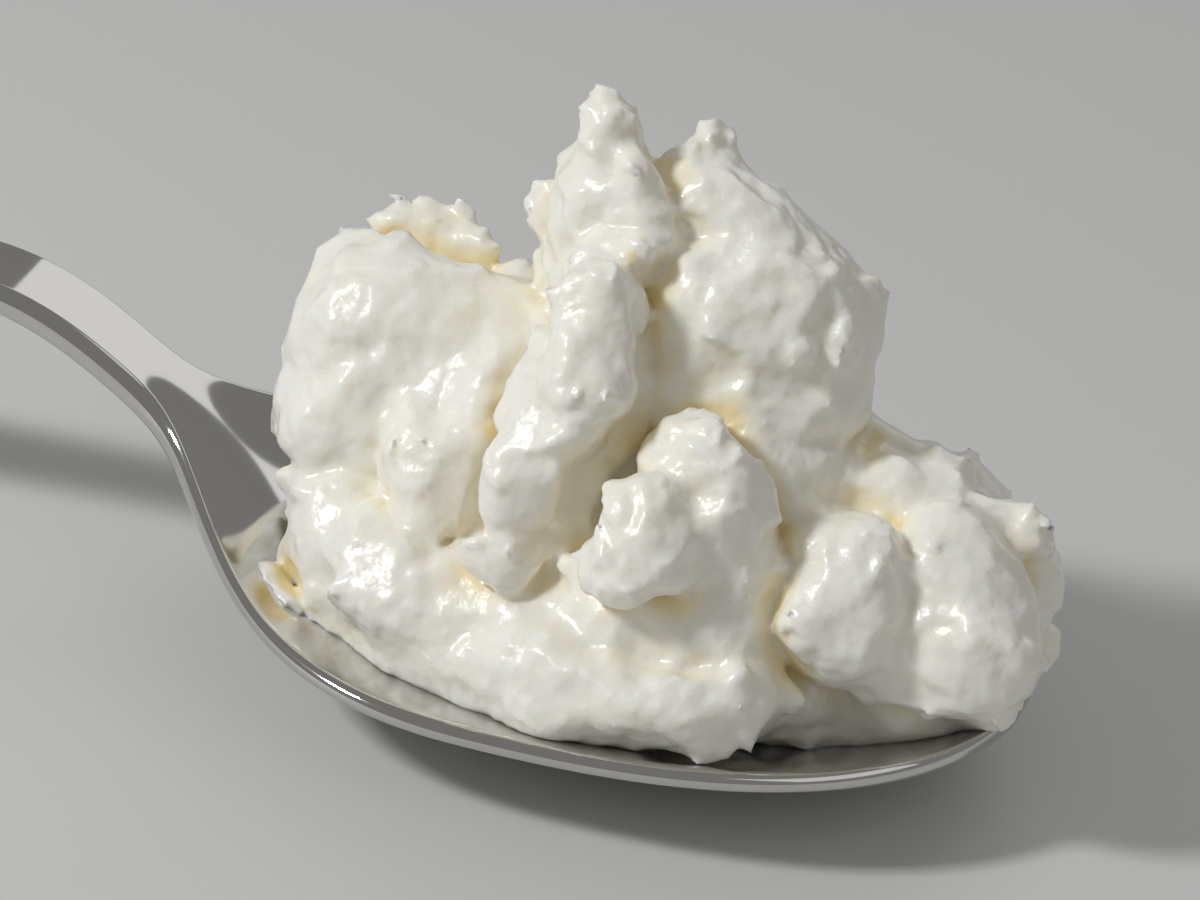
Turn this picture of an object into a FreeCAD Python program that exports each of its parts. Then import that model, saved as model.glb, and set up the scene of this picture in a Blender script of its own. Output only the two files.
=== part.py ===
import FreeCAD, Part
import math
import os

# A polished steel tablespoon carrying a heaped spoonful of quark.
# Millimetres. +X runs to the tip of the bowl, +Z is up, the table is z = 0.
# The origin is the middle of the flat spot under the bowl.

# --- spoon -----------------------------------------------------------------
BOWL_LENGTH = 65.5
BOWL_WIDTH = 47.0
BOWL_DEPTH = 6.7
BOWL_THICKNESS = 1.5
FLAT_SPOT_CUT = 0.35        # how far the underside is ground flat
HANDLE_LENGTH = 132.0
NECK_WIDTH = 6.0
HANDLE_END_WIDTH = 19.0
HANDLE_END_ROUND = 10.0     # length of the rounded end
NECK_THICKNESS = 2.4
HANDLE_END_THICKNESS = 1.8
TIP_LIFT = 0.8              # the rim rises this much to the tip
NECK_SLOPE = 0.87           # rise of the neck out of the bowl
NECK_BEND = 5.0             # softness of the bend at the bowl
ARCH_BEND = 9.1             # softness of the bend at the top of the arch
FOOT_LENGTH = 15.0          # last part of the handle, laid level
FOOT_BEND = 12.0
EDGE_BULGE = 0.35           # roundness of the rim, as a share of its thickness
STATIONS = 72
RING_STEPS = 12

# --- quark -----------------------------------------------------------------
HEAP_HEIGHT = 37.0          # above the rim
HEAP_CLEARANCE = 0.6        # vertical gap between the quark and the steel
MERGE = 0.8                 # softness where one lump runs into the next
BODY_MERGE = 2.5
LUMP_RELIEF = 0.45          # unevenness of the surface
LUMP_PITCH = 4.2
CELL = 1.65                 # facet size
FACET_ALLOWANCE = 0.25      # makes up for what the facets cut off the rounded lumps

# The heap is laid out for a bowl 65.5 long and 47 wide with its rim 7.85 up
# and a heap 37 high, and is stretched to the sizes above.
LAYOUT_LENGTH = 65.5
LAYOUT_WIDTH = 47.0
LAYOUT_RIM = 7.85
LAYOUT_HEIGHT = 37.0

# name, middle, half sizes of the inner bodies
BODIES = [
    ("bed", (1.5, 0.5, 8.3), (24.0, 18.0, 7.0)),
    ("left body", (-7.0, 3.0, 18.0), (11.5, 9.5, 10.0)),
    ("middle body", (5.0, 4.0, 21.0), (10.0, 10.0, 14.0)),
    ("right body", (19.0, 3.0, 12.5), (11.0, 12.0, 8.0)),
    ("skirt body", (20.0, -4.0, 7.4), (10.5, 6.8, 3.6)),
]

# name, two ends, radius at each end, thinness across the spoon
LUMPS = [
    ("left corner", (-21.0, 4.0, 26.5), (-20.5, 2.0, 22.0), 2.7, 3.8, 1.0),
    ("left edge", (-20.5, 2.0, 22.0), (-21.5, 0.0, 15.5), 3.9, 3.3, 1.0),
    ("left face", (-18.0, 2.0, 23.5), (-17.5, -1.0, 16.5), 6.2, 6.0, 1.0),
    ("left middle", (-13.5, 2.0, 22.5), (-12.5, -1.0, 16.5), 5.6, 5.6, 1.0),
    ("left right", (-9.0, 3.0, 23.5), (-9.0, -1.0, 19.0), 4.4, 4.8, 1.0),
    ("left bulge", (-10.0, -3.0, 24.5), (-8.5, -6.0, 20.5), 2.6, 2.8, 1.0),
    ("nose fold", (-15.0, -2.0, 19.5), (-12.0, -7.0, 17.5), 2.6, 3.2, 1.0),
    ("nose", (-12.0, -7.0, 17.5), (-11.0, -9.0, 15.5), 3.3, 2.5, 1.0),
    ("left keel", (-9.5, -6.0, 18.5), (-10.0, -8.0, 15.5), 3.4, 2.6, 1.0),
    ("left under", (-15.0, -3.0, 12.0), (-8.0, -6.0, 12.0), 4.8, 5.0, 1.0),
    ("fan", (-19.5, 9.0, 26.0), (-14.5, 9.0, 26.0), 2.4, 2.4, 0.6),
    ("fan tip a", (-19.0, 9.0, 27.0), (-20.0, 10.0, 28.0), 1.9, 1.0, 0.7),
    ("fan tip b", (-17.0, 9.0, 27.5), (-17.5, 10.0, 28.5), 1.9, 1.0, 0.7),
    ("fan tip c", (-14.5, 9.0, 27.0), (-15.0, 10.0, 28.5), 1.9, 1.0, 0.7),
    ("left foot a", (-17.5, -5.0, 12.0), (-15.0, -8.0, 7.0), 4.0, 4.8, 1.0),
    ("left foot b", (-12.0, -10.0, 10.5), (-9.5, -12.0, 7.0), 5.0, 4.8, 1.0),
    ("left spike a", (-19.0, -5.0, 12.0), (-21.0, -5.0, 12.5), 2.9, 1.3, 1.0),
    ("left spike b", (-18.0, -7.0, 7.5), (-20.0, -7.0, 7.5), 3.4, 1.6, 1.0),
    ("left flap", (-22.0, -10.0, 6.0), (-16.5, -13.0, 4.0), 1.9, 2.4, 1.0),
    ("finger top", (-2.0, -7.0, 32.5), (0.0, -6.0, 32.0), 2.7, 2.4, 1.0),
    ("finger ridge", (-1.5, -8.0, 33.0), (-1.0, -11.0, 28.5), 2.5, 2.8, 1.0),
    ("finger back", (-0.5, -4.0, 30.5), (0.0, -7.0, 25.5), 2.6, 2.9, 1.0),
    ("finger middle", (-2.5, -7.0, 27.5), (-3.5, -9.0, 23.5), 2.8, 3.4, 1.0),
    ("finger front", (-1.0, -10.0, 28.0), (-3.5, -13.0, 20.5), 3.0, 3.0, 1.0),
    ("finger side", (0.0, -7.0, 25.5), (-1.5, -11.0, 17.5), 3.0, 2.6, 1.0),
    ("finger end", (-3.5, -13.0, 20.5), (-4.5, -13.0, 19.0), 2.8, 1.6, 1.0),
    ("finger tip", (-4.5, -14.0, 16.0), (-3.0, -14.0, 16.0), 1.9, 2.2, 1.0),
    ("spire foot", (-2.5, 2.0, 32.0), (-3.5, 2.0, 37.5), 4.8, 4.0, 1.0),
    ("spire middle", (-3.5, 2.0, 37.5), (-4.0, 2.0, 41.0), 3.7, 2.3, 1.0),
    ("spire", (-4.0, 2.0, 41.0), (-5.5, 2.0, 43.5), 2.4, 1.2, 1.0),
    ("spire ridge", (-1.0, 0.0, 39.5), (0.5, -1.0, 35.0), 2.2, 2.6, 1.0),
    ("spire knots", (-3.0, -3.0, 33.5), (-0.5, -3.0, 34.5), 2.1, 2.4, 1.0),
    ("spire fin", (-7.0, 5.0, 35.5), (-6.0, 5.0, 28.0), 1.6, 2.3, 0.8),
    ("peak", (3.0, 6.0, 40.0), (6.0, 4.0, 34.0), 1.8, 6.0, 1.0),
    ("peak slope", (2.5, 4.0, 37.5), (6.5, 4.0, 35.0), 3.5, 4.5, 1.0),
    ("shoulder", (6.5, 4.0, 35.0), (13.0, 4.0, 30.5), 4.5, 4.2, 1.0),
    ("shoulder tip", (13.5, 3.0, 31.0), (15.5, 4.0, 33.0), 3.0, 1.4, 0.8),
    ("face upper", (8.5, 1.0, 30.0), (9.5, 0.0, 24.5), 7.3, 7.2, 1.0),
    ("face lower", (8.5, -2.0, 24.0), (13.0, 0.0, 23.5), 5.6, 4.6, 1.0),
    ("face foot", (10.0, -4.0, 22.0), (14.5, -2.0, 20.5), 4.6, 4.4, 1.0),
    ("face left", (4.5, -1.0, 32.0), (5.5, -3.0, 25.5), 4.0, 4.4, 1.0),
    ("saddle", (-0.5, 3.0, 34.5), (3.5, 4.0, 35.0), 4.0, 4.5, 1.0),
    ("valley top", (1.0, 1.0, 31.0), (1.0, 0.0, 24.5), 4.6, 5.0, 1.0),
    ("valley floor", (1.0, 0.0, 24.5), (0.5, -4.0, 17.0), 5.2, 4.8, 1.0),
    ("valley foot", (0.5, -4.0, 17.0), (0.0, -9.0, 14.0), 4.6, 4.2, 1.0),
    ("front tower", (7.0, -11.0, 24.5), (9.5, -12.0, 21.0), 3.4, 4.6, 1.0),
    ("tower side", (9.5, -12.0, 21.0), (11.5, -12.0, 19.0), 4.5, 3.3, 1.0),
    ("edge nub a", (12.0, -12.0, 22.0), (13.0, -12.0, 23.0), 1.9, 1.1, 1.0),
    ("edge nub b", (12.5, -12.0, 18.5), (14.0, -12.0, 19.0), 2.0, 1.2, 1.0),
    ("front head", (5.5, -16.0, 22.5), (7.0, -16.0, 21.0), 3.1, 3.2, 1.0),
    ("head chin", (5.0, -17.0, 19.0), (7.0, -16.0, 20.5), 2.7, 2.8, 1.0),
    ("front head tip", (3.5, -17.0, 20.0), (2.5, -17.0, 19.5), 2.1, 1.1, 1.0),
    ("front spike", (2.0, -14.0, 16.5), (1.0, -14.0, 16.5), 1.2, 0.8, 1.0),
    ("front body", (4.5, -13.0, 12.0), (10.0, -12.0, 13.0), 4.8, 5.4, 1.0),
    ("front side", (11.0, -12.0, 16.0), (13.5, -15.0, 10.5), 3.9, 3.6, 1.0),
    ("edge nub c", (14.5, -15.0, 11.0), (16.5, -15.0, 10.5), 2.3, 1.3, 1.0),
    ("front low", (7.0, -16.0, 9.0), (13.5, -17.0, 11.0), 4.0, 3.2, 1.0),
    ("apron left", (-8.5, -13.0, 6.5), (1.5, -17.0, 8.5), 4.2, 4.2, 1.0),
    ("apron right", (1.5, -17.0, 8.5), (11.0, -18.0, 10.0), 4.2, 3.2, 1.0),
    ("apron crumb", (12.5, -19.0, 8.5), (15.0, -18.5, 9.0), 1.5, 1.2, 1.0),
    ("belly", (-5.5, -11.0, 9.5), (3.0, -12.0, 10.5), 5.6, 5.4, 1.0),
    ("back layer", (16.5, 2.0, 22.5), (23.5, 1.0, 21.0), 2.2, 2.3, 1.0),
    ("back fill", (15.0, -1.0, 20.0), (23.5, -2.0, 19.5), 4.3, 3.7, 1.0),
    ("right slope", (13.5, -4.0, 20.0), (15.5, -6.0, 15.0), 4.6, 4.2, 1.0),
    ("right knob", (18.0, -9.0, 18.5), (19.0, -11.0, 15.5), 4.1, 4.9, 1.0),
    ("right bridge", (21.5, -9.0, 16.5), (23.0, -10.0, 13.0), 3.2, 3.6, 1.0),
    ("right lump", (26.0, -6.0, 18.5), (27.5, -9.0, 14.5), 4.7, 5.2, 1.0),
    ("right crown", (27.0, -2.0, 20.5), (29.5, -2.0, 20.5), 2.0, 1.8, 1.0),
    ("crown tip a", (27.0, -2.0, 20.0), (27.0, -2.0, 21.5), 1.5, 0.8, 1.0),
    ("crown tip b", (29.5, -2.0, 20.5), (30.0, -2.0, 22.0), 1.5, 0.8, 1.0),
    ("crown tip c", (29.5, -1.0, 18.5), (31.0, -1.0, 18.0), 1.8, 1.0, 1.0),
    ("right horn", (29.5, -1.0, 18.5), (30.0, -2.0, 14.0), 2.2, 2.9, 1.0),
    ("right flap", (30.5, -1.0, 10.0), (32.5, -1.0, 11.5), 2.6, 1.6, 1.0),
    ("right foot", (27.0, -9.0, 12.0), (29.5, -7.0, 10.0), 3.0, 2.8, 1.0),
    ("skirt", (17.0, -8.5, 7.5), (25.0, -6.5, 9.0), 2.0, 2.0, 1.0),
    ("skirt end", (27.5, -6.5, 9.5), (30.5, -3.0, 9.0), 2.2, 2.0, 1.0),
]

NECK_X = -BOWL_LENGTH / 2
TIP_X = BOWL_LENGTH / 2
WIDEST_X = -0.06 * BOWL_LENGTH
HANDLE_END_X = NECK_X - HANDLE_LENGTH
RIM_Z = BOWL_DEPTH + BOWL_THICKNESS - FLAT_SPOT_CUT
RISE_X = NECK_X + 10.6
ARCH_X = NECK_X - 10.5
FOOT_X = HANDLE_END_X + FOOT_LENGTH


def soft_step(t, r):
    """t where t is positive and 0 where negative, rounded over r."""
    return 0.5 * (t + math.sqrt(t * t + r * r))


def clamp(t):
    return max(0.0, min(1.0, t))


def smooth(t):
    t = clamp(t)
    return t * t * (3 - 2 * t)


def bowl_half_width(x):
    if x > WIDEST_X:
        u = clamp((x - WIDEST_X) / (TIP_X - WIDEST_X))
        return BOWL_WIDTH / 2 * math.sqrt(1 - u ** 2.6)
    t = clamp((x - NECK_X) / (WIDEST_X - NECK_X))
    return BOWL_WIDTH / 2 * math.sin(math.pi / 2 * t ** 0.6) ** 1.61


def handle_half_width(x):
    t = clamp((NECK_X - x) / HANDLE_LENGTH)
    w = (NECK_WIDTH + (HANDLE_END_WIDTH - NECK_WIDTH) * t ** 1.8) / 2
    u = clamp((HANDLE_END_X + HANDLE_END_ROUND - x) / HANDLE_END_ROUND)
    return w * math.sqrt(1 - u ** 2.2)


def half_width(x):
    bowl = bowl_half_width(x)
    if x > WIDEST_X:
        return bowl
    return (bowl ** 3 + handle_half_width(x) ** 3) ** (1 / 3)


def line_without_fall(x):
    lift = TIP_LIFT * clamp(x / TIP_X) ** 2
    rise = NECK_SLOPE * (soft_step(RISE_X - x, NECK_BEND) - soft_step(ARCH_X - x, ARCH_BEND))
    return RIM_Z + lift + rise


def fall_length(x):
    return soft_step(ARCH_X - x, ARCH_BEND) - soft_step(FOOT_X - x, FOOT_BEND)


HANDLE_REST_Z = HANDLE_END_THICKNESS - FLAT_SPOT_CUT / 2
FALL_SLOPE = (line_without_fall(HANDLE_END_X) - HANDLE_REST_Z) / fall_length(HANDLE_END_X)


def rim_height(x):
    """Height of the rim, and beyond the neck of the top of the handle."""
    return line_without_fall(x) - FALL_SLOPE * fall_length(x)


def dish(x):
    s = clamp((x - NECK_X) / BOWL_LENGTH)
    return BOWL_DEPTH / 0.85 * (4 * s * (1 - s)) ** 0.75 * (1.15 * s) ** 0.35


def top_height(x, y):
    """Height of the upper face of the spoon."""
    w = half_width(x)
    v = min(1.0, abs(y) / w) if w > 0 else 1.0
    q = 1 - v * v
    return rim_height(x) - dish(x) * (0.6 * q + 0.4 * q * q)


def thickness(x):
    bowl = BOWL_THICKNESS + (NECK_THICKNESS - BOWL_THICKNESS) * smooth((-20 - x) / 16)
    end = (NECK_X - x) / HANDLE_LENGTH
    t = bowl + (HANDLE_END_THICKNESS - NECK_THICKNESS) * clamp(end)
    slope = (rim_height(x + 0.5) - rim_height(x - 0.5)) / 1.0
    return t * math.sqrt(1 + slope * slope)


def edge_round(x):
    """Share of the thickness left where the two ends are rounded over."""
    r = BOWL_THICKNESS / 2
    u = max(0.0, (x - TIP_X + r) / r, (HANDLE_END_X + r - x) / r)
    return math.sqrt(1 - min(0.98, u) ** 2)


def ring(x):
    """Closed curve round the spoon in the plane at x."""
    w = half_width(x)
    full = thickness(x)
    left = full * edge_round(x)
    top = []
    under = []
    for i in range(RING_STEPS + 1):
        y = w * math.sin(math.pi / 2 * (2 * i / RING_STEPS - 1))
        e = 0.02 * w
        slope = (top_height(x, y + e) - top_height(x, y - e)) / (2 * e)
        if i in (0, RING_STEPS):
            slope = slope * 2
        n = math.hypot(1, slope)
        ny = slope / n
        nz = -1 / n
        z = top_height(x, y)
        a = (full - left) / 2
        b = (full + left) / 2
        top.append((y + a * ny, z + a * nz))
        under.append((y + b * ny, z + b * nz))
    right = bulge(top[-1], under[-1], 1, left)
    other = bulge(top[0], under[0], -1, left)
    points = top + [right] + under[::-1] + [other]
    return [FreeCAD.Vector(x, y, z) for y, z in points]


def bulge(a, b, side, t):
    """Outermost point of a rounded edge between its two corners."""
    y = (a[0] + b[0]) / 2
    z = (a[1] + b[1]) / 2
    ty = a[1] - b[1]
    tz = b[0] - a[0]
    n = math.hypot(ty, tz)
    return (y + side * EDGE_BULGE * t * ty / n, z + side * EDGE_BULGE * t * tz / n)


def station(i):
    """Planes crowd together towards the two rounded ends."""
    first = HANDLE_END_X + 0.03
    last = TIP_X - 0.03
    return first + (last - first) * (1 - math.cos(math.pi * i / STATIONS)) / 2


def skin(rings):
    """Smooth closed surface drawn over a net of rings."""
    n = len(rings)
    m = len(rings[0])
    surface = Part.BSplineSurface()
    along = [4] + [1] * (n - 4) + [4]
    round_ = [1] * (m + 1)
    surface.buildFromPolesMultsKnots(
        rings, along, round_, list(range(n - 2)), list(range(m + 1)), False, True, 3, 3)
    return surface.toShape()


def spoon():
    side = skin([ring(station(i)) for i in range(STATIONS + 1)])
    ends = [e for e in side.Edges if e.BoundBox.XLength < 0.01]
    shell = Part.makeShell([side] + [Part.Face(Part.Wire([e])) for e in ends])
    shell.sewShape()
    body = Part.makeSolid(shell)
    size = 2 * (BOWL_LENGTH + HANDLE_LENGTH)
    corner = FreeCAD.Vector(NECK_X - size / 2, -size / 2, -10)
    return body.cut(Part.makeBox(size, size, 10, corner)).Solids[0]


def stretched(p):
    return (
        p[0] * BOWL_LENGTH / LAYOUT_LENGTH,
        p[1] * BOWL_WIDTH / LAYOUT_WIDTH,
        RIM_Z + (p[2] - LAYOUT_RIM) * HEAP_HEIGHT / LAYOUT_HEIGHT,
    )


GROWTH = (
    BOWL_LENGTH / LAYOUT_LENGTH * BOWL_WIDTH / LAYOUT_WIDTH * HEAP_HEIGHT / LAYOUT_HEIGHT
) ** (1 / 3)


def blend(a, b, k):
    h = max(k - abs(a - b), 0) / k
    return min(a, b) - h * h * k * 0.25


def body_distance(p, middle, half):
    q = [(p[i] - middle[i]) / half[i] for i in range(3)]
    k0 = math.sqrt(sum(c * c for c in q))
    k1 = math.sqrt(sum((q[i] / half[i]) ** 2 for i in range(3)))
    return k0 * (k0 - 1) / max(k1, 1e-6)


def lump_distance(p, a, b, ra, rb, thin):
    s = (1, 1 / thin, 1)
    d = [(b[i] - a[i]) * s[i] for i in range(3)]
    v = [(p[i] - a[i]) * s[i] for i in range(3)]
    t = clamp(sum(v[i] * d[i] for i in range(3)) / sum(c * c for c in d))
    gap = math.sqrt(sum((v[i] - t * d[i]) ** 2 for i in range(3)))
    return (gap - ra - (rb - ra) * t) * thin


def scatter(i, j, k):
    """A repeatable value from 0 to 1 for each point of a lattice."""
    h = (i * 374761393 + j * 668265263 + k * 2147483647 + 1274126177) & 0xFFFFFFFF
    h = ((h ^ (h >> 13)) * 1274126177) & 0xFFFFFFFF
    return (h ^ (h >> 16)) / 4294967295


def unevenness(p):
    q = [c / LUMP_PITCH for c in p]
    base = [math.floor(c) for c in q]
    f = [q[i] - base[i] for i in range(3)]
    f = [c * c * c * (c * (c * 6 - 15) + 10) for c in f]
    total = 0.0
    for n in range(8):
        corner = (n & 1, n >> 1 & 1, n >> 2 & 1)
        weight = 1.0
        for i in range(3):
            weight *= f[i] if corner[i] else 1 - f[i]
        total += weight * scatter(*[base[i] + corner[i] for i in range(3)])
    return LUMP_RELIEF * (2 * total - 1)


class Grid:
    """Distances to the surface of the quark on a lattice of points."""

    def __init__(self):
        self.low = (-0.46 * BOWL_LENGTH, -0.53 * BOWL_WIDTH, 0.0)
        high = (0.57 * BOWL_LENGTH, 0.47 * BOWL_WIDTH, RIM_Z + HEAP_HEIGHT + 4)
        self.count = [int((high[i] - self.low[i]) / CELL) + 2 for i in range(3)]
        self.value = {}
        for key in self.keys():
            self.value[key] = self.body_value(self.point(key))
        for name, a, b, ra, rb, thin in LUMPS:
            self.add_lump(stretched(a), stretched(b), ra * GROWTH, rb * GROWTH, thin)
        for key in self.keys():
            self.value[key] = self.trimmed(key)

    def keys(self):
        for i in range(self.count[0]):
            for j in range(self.count[1]):
                for k in range(self.count[2]):
                    yield (i, j, k)

    def point(self, key):
        return tuple(self.low[i] + CELL * key[i] for i in range(3))

    def body_value(self, p):
        value = 9.0
        for name, middle, half in BODIES:
            size = [h * GROWTH for h in half]
            value = blend(value, body_distance(p, stretched(middle), size), BODY_MERGE)
        return value

    def add_lump(self, a, b, ra, rb, thin):
        reach = max(ra, rb) + MERGE + CELL
        spans = []
        for i in range(3):
            first = int((min(a[i], b[i]) - reach - self.low[i]) / CELL)
            last = int((max(a[i], b[i]) + reach - self.low[i]) / CELL) + 1
            spans.append(range(max(0, first), min(self.count[i] - 1, last) + 1))
        for i in spans[0]:
            for j in spans[1]:
                for k in spans[2]:
                    key = (i, j, k)
                    d = lump_distance(self.point(key), a, b, ra, rb, thin)
                    self.value[key] = blend(self.value[key], d, MERGE)

    def trimmed(self, key):
        """The value with the surface made uneven and kept off the spoon."""
        p = self.point(key)
        value = self.value[key]
        if abs(value) < 3 * CELL:
            value += unevenness(p) - FACET_ALLOWANCE
        floor = top_height(p[0], p[1]) + HEAP_CLEARANCE
        value = max(value, floor - p[2])
        edge = any(c == 0 or c == n - 1 for c, n in zip(key, self.count))
        return max(value, 0.5) if edge else value


def square_faces(key):
    """The three lattice squares that start at a point."""
    i, j, k = key
    yield (key, (i + 1, j, k), (i + 1, j + 1, k), (i, j + 1, k))
    yield (key, (i, j + 1, k), (i, j + 1, k + 1), (i, j, k + 1))
    yield (key, (i + 1, j, k), (i + 1, j, k + 1), (i, j, k + 1))


def fill_pinches(grid):
    """Fill points until no two parts of the quark meet along a bare edge."""
    value = grid.value
    changed = True
    while changed:
        changed = False
        for key in grid.keys():
            for a, b, c, d in square_faces(key):
                if c not in value or b not in value or d not in value:
                    continue
                inside = [value[n] < 0 for n in (a, b, c, d)]
                if inside[0] == inside[2] != inside[1] == inside[3]:
                    pair = (b, d) if inside[0] else (a, c)
                    raised = pair[0] if value[pair[0]] > value[pair[1]] else pair[1]
                    lowered = pair[1] if raised == pair[0] else pair[0]
                    hold = (a, c) if inside[0] else (b, d)
                    if near_steel(grid, lowered):
                        target = max(hold, key=lambda n: value[n])
                        value[target] = 0.05
                    else:
                        value[lowered] = -0.05
                    changed = True


def near_steel(grid, key):
    p = grid.point(key)
    return p[2] < top_height(p[0], p[1]) + HEAP_CLEARANCE


def neighbours(key):
    for i in range(3):
        for step in (-1, 1):
            yield tuple(c + step * (n == i) for n, c in enumerate(key))


def keep_one_piece(grid):
    """Leave only the largest connected part of the quark."""
    value = grid.value
    seen = set()
    best = set()
    for start in grid.keys():
        if value[start] >= 0 or start in seen:
            continue
        part = set([start])
        queue = [start]
        while queue:
            for n in neighbours(queue.pop()):
                if n in value and value[n] < 0 and n not in part:
                    part.add(n)
                    queue.append(n)
        seen |= part
        if len(part) > len(best):
            best = part
    for key in grid.keys():
        if value[key] < 0 and key not in best:
            value[key] = 0.05


def fill_holes(grid):
    """Fill any space closed in by quark."""
    value = grid.value
    open_space = set([(0, 0, 0)])
    queue = [(0, 0, 0)]
    while queue:
        for n in neighbours(queue.pop()):
            if n in value and value[n] >= 0 and n not in open_space:
                open_space.add(n)
                queue.append(n)
    for key in grid.keys():
        if value[key] >= 0 and key not in open_space:
            value[key] = -0.05


CORNERS = [(i, j, k) for i in (0, 1) for j in (0, 1) for k in (0, 1)]
EDGES = [(a, b) for a in CORNERS for b in CORNERS if a < b and sum(b) - sum(a) == 1
         and all(p <= q for p, q in zip(a, b))]


def cell_point(grid, cell):
    """Mean of the points where the surface crosses the edges of a cell."""
    total = [0.0, 0.0, 0.0]
    count = 0
    for a, b in EDGES:
        ka = tuple(c + d for c, d in zip(cell, a))
        kb = tuple(c + d for c, d in zip(cell, b))
        va = grid.value[ka]
        vb = grid.value[kb]
        if (va < 0) == (vb < 0):
            continue
        t = va / (va - vb)
        pa = grid.point(ka)
        pb = grid.point(kb)
        total = [total[i] + pa[i] + t * (pb[i] - pa[i]) for i in range(3)]
        count += 1
    return FreeCAD.Vector(*[c / count for c in total])


def facets(grid):
    """Points and triangles of the surface of the quark."""
    points = []
    number = {}
    triangles = []
    for key in grid.keys():
        for axis in range(3):
            far = tuple(c + (n == axis) for n, c in enumerate(key))
            if far not in grid.value or (grid.value[key] < 0) == (grid.value[far] < 0):
                continue
            u = (axis + 1) % 3
            v = (axis + 2) % 3
            ring_ids = []
            for du, dv in ((0, 0), (1, 0), (1, 1), (0, 1)):
                cell = tuple(c - du * (n == u) - dv * (n == v) for n, c in enumerate(key))
                if cell not in number:
                    number[cell] = len(points)
                    points.append(cell_point(grid, cell))
                ring_ids.append(number[cell])
            if grid.value[key] >= 0:
                ring_ids.reverse()
            a, b, c, d = ring_ids
            if points[a].distanceToPoint(points[c]) < points[b].distanceToPoint(points[d]):
                triangles += [(a, b, c), (a, c, d)]
            else:
                triangles += [(a, b, d), (b, c, d)]
    return points, triangles


def quark():
    grid = Grid()
    fill_pinches(grid)
    keep_one_piece(grid)
    fill_holes(grid)
    shape = Part.Shape()
    shape.makeShapeFromMesh(facets(grid), 0.001)
    return Part.makeSolid(shape)


os.makedirs("parts", exist_ok=True)
spoon().exportStep("parts/spoon.step")
quark().exportStep("parts/quark.step")
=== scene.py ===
import math
from collections import namedtuple

import bpy
import numpy as np
from mathutils import Matrix, Vector


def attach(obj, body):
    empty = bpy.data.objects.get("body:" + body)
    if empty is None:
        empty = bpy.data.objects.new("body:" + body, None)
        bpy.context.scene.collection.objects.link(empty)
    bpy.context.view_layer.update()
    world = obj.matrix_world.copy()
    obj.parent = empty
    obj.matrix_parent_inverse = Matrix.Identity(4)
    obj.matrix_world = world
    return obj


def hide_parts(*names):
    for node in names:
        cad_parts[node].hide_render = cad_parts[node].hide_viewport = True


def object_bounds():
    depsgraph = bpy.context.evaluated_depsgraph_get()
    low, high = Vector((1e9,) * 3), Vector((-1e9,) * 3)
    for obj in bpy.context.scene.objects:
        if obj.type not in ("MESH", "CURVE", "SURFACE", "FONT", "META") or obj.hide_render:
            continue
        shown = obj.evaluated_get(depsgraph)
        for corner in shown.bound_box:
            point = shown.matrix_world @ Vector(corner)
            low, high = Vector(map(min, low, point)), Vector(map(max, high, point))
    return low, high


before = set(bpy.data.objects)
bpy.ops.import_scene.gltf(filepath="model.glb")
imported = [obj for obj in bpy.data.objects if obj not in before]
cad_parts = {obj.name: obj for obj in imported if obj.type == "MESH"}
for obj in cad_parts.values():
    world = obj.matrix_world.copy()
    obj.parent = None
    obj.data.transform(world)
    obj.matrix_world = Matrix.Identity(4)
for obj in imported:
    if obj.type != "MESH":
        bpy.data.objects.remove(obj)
CAD_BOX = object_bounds()

# A polished steel tablespoon carrying a heaped spoonful of quark.
# The shapes are worked out in millimetres and the stage in metres.
# +X runs to the tip of the bowl, +Z is up, the floor is z = 0.
MM = 0.001

# -------------------------------------------------------------- spoon sizes
BOWL_LENGTH = 65.5
BOWL_WIDTH = 47.0
BOWL_DEPTH = 6.7
BOWL_THICKNESS = 1.5
FLAT_SPOT_CUT = 0.35        # how far the underside is ground flat
HANDLE_LENGTH = 132.0
NECK_WIDTH = 6.0
HANDLE_END_WIDTH = 19.0
HANDLE_END_ROUND = 10.0     # length of the rounded end
NECK_THICKNESS = 2.4
HANDLE_END_THICKNESS = 1.8
TIP_LIFT = 0.8              # the rim rises this much to the tip
NECK_SLOPE = 0.87           # rise of the neck out of the bowl
NECK_BEND = 5.0             # softness of the bend at the bowl
ARCH_BEND = 9.1             # softness of the bend at the top of the arch
FOOT_LENGTH = 15.0          # last part of the handle, laid level
FOOT_BEND = 12.0
EDGE_BULGE = 0.35           # roundness of the rim, as a share of its thickness
WIDEST_SHARE = -0.06        # where the bowl is widest, as a share of its length
RISE_START = 10.6           # the rim begins to rise this far before the neck
ARCH_START = 10.5           # and to come down again this far past it
THICKEN_X = -20.0           # the bowl begins to thicken into the neck here
THICKEN_LENGTH = 16.0
TIP_POWER = 2.6             # exponents of the outlines seen from above
NECK_POWERS = (0.6, 1.61)
HANDLE_POWER = 1.8
HANDLE_END_POWER = 2.2
JOIN_POWER = 3              # the larger, the sharper bowl and handle join
DISH_POWER = 0.75           # fullness of the bowl along its middle line
DISH_LEAN = 1.15            # moves its deepest place towards the tip
DISH_LEAN_POWER = 0.35
DISH_PEAK = 0.85            # what these come to at the deepest place
DISH_ROUND = (0.6, 0.4)     # shares of the round and of the pointed section
STATIONS = 72
RING_STEPS = 12
SKIN_STEPS = 4              # mesh faces for each step of the control net

NECK_X = -BOWL_LENGTH / 2
TIP_X = BOWL_LENGTH / 2
WIDEST_X = WIDEST_SHARE * BOWL_LENGTH
HANDLE_END_X = NECK_X - HANDLE_LENGTH
RIM_Z = BOWL_DEPTH + BOWL_THICKNESS - FLAT_SPOT_CUT
RISE_X = NECK_X + RISE_START
ARCH_X = NECK_X - ARCH_START
FOOT_X = HANDLE_END_X + FOOT_LENGTH

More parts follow.
